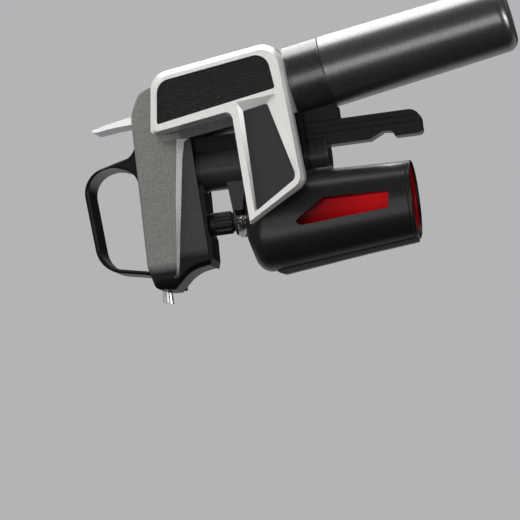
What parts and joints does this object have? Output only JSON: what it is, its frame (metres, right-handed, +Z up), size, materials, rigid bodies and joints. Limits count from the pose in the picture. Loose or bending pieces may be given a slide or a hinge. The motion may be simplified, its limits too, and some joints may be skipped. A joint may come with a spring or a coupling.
{
  "type": "wine preservation dispenser",
  "caption": "Hand-held wine dispenser: needle through the cork, gas capsule cup, trigger and spout on a neck clamp that slides on a rail.",
  "frame": {"origin": "middle of the neck clamp's grip band, on the needle's axis", "axes": "+Z up the needle, away from the bottle; +X from the needle towards the rail and the gas cup; the spout points to -X; +Y completes the right-handed frame, across the part"},
  "size_m": [0.1146, 0.052, 0.1866],
  "materials": {
    "frame_silver": "satin",
    "column_graphite": "speckled satin",
    "cover_black": "satin",
    "loop_black": "satin",
    "core_black": "satin",
    "pad_charcoal": "diamond texture",
    "panel_charcoal": "smooth",
    "gunmetal": "brushed",
    "rail_black": "satin",
    "carriage_black": "satin",
    "jaw_black": "satin",
    "liner_red": "smooth",
    "clear_ring": "clear",
    "hub_black": "fluted satin",
    "stainless": "polished",
    "steel": "plain",
    "capsule_steel": "satin",
    "brass": "machined",
    "seal_rubber": "smooth",
    "tube_black": "smooth",
    "inner_plastic": "moulded"
  },
  "bodies": {
    "clamp": {"carriage": "carriage_black", "needle_guide_foot": "carriage_black", "guide_ring": "clear_ring", "jaw_hinge_pin": "steel", "jaw_spring": "steel"},
    "jaw_left": {"jaw_left": "jaw_black", "jaw_liner_left": "liner_red"},
    "jaw_right": {"jaw_right": "jaw_black", "jaw_liner_right": "liner_red"},
    "head": {"column_shell_left": "column_graphite", "column_shell_right": "column_graphite", "finger_loop": "loop_black", "under_cover": "cover_black", "head_core": "core_black", "grip_frame_left": "frame_silver", "grip_frame_right": "frame_silver", "grip_pad_left": "pad_charcoal", "grip_pad_right": "pad_charcoal", "side_panel_left": "panel_charcoal", "side_panel_right": "panel_charcoal", "frame_screw_lower_left": "steel", "frame_screw_lower_right": "steel", "frame_screw_upper_left": "steel", "frame_screw_upper_right": "steel", "cup_collar": "gunmetal", "capsule_seal": "seal_rubber", "piercing_pin": "steel", "regulator_body": "brass", "regulator_cap": "brass", "regulator_piston": "brass", "regulator_spring": "steel", "rail": "rail_black", "rail_bracket": "rail_black", "valve_body": "brass", "valve_spring": "steel", "gas_tube": "tube_black", "manifold": "inner_plastic", "needle_socket": "inner_plastic", "spout_tube": "stainless", "trigger_pin": "steel", "trigger_spring": "steel"},
    "trigger": {"trigger": "frame_silver"},
    "push_pin": {"push_pin": "brass"},
    "capsule": {"gas_capsule": "capsule_steel"},
    "cup": {"capsule_cup": "gunmetal"},
    "needle": {"needle_hub": "hub_black", "needle_tube": "steel"}
  },
  "joints": [
    {"name": "head_slide", "type": "slide", "parent": "clamp", "child": "head", "axis": [0, 0, 1], "range_m": [0, 0.055]},
    {"name": "jaw_right_hinge", "type": "hinge", "parent": "clamp", "child": "jaw_right", "pos_m": [0.0202, 0, 0.0455], "axis": [0, 0, 1], "range_deg": [0, 5], "stiffness_Nm_per_rad": 1, "springref_deg": -14.32},
    {"name": "jaw_left_hinge", "type": "hinge", "parent": "clamp", "child": "jaw_left", "pos_m": [0.0202, 0, 0.0455], "axis": [0, 0, 1], "range_deg": [-5, 0]},
    {"name": "trigger_hinge", "type": "hinge", "parent": "head", "child": "trigger", "pos_m": [0.0463, 0, 0.097], "axis": [0, -1, 0], "range_deg": [0, 14], "stiffness_Nm_per_rad": 0.3, "springref_deg": -11.46},
    {"name": "push_pin_slide", "type": "slide", "parent": "head", "child": "push_pin", "axis": [1, 0, 0], "range_m": [0, 0.0026]},
    {"name": "capsule_slide", "type": "slide", "parent": "head", "child": "capsule", "axis": [0.1616, 0, -0.9869], "range_m": [0, 0.1]},
    {"name": "cup_turn", "type": "hinge", "parent": "capsule", "child": "cup", "pos_m": [0.0574, 0, 0.0206], "axis": [0.1616, 0, -0.9869], "range_deg": [0, 1080]},
    {"name": "needle_turn", "type": "hinge", "parent": "head", "child": "needle", "pos_m": [0, 0, 0.075], "axis": [0, 0, 1], "range_deg": [0, 1080]}
  ],
  "couplings": [
    {"joint": "jaw_left_hinge", "follows": "jaw_right_hinge", "ratio": -1},
    {"joint": "push_pin_slide", "follows": "trigger_hinge", "m_per_rad": 0.0105}
  ]
}
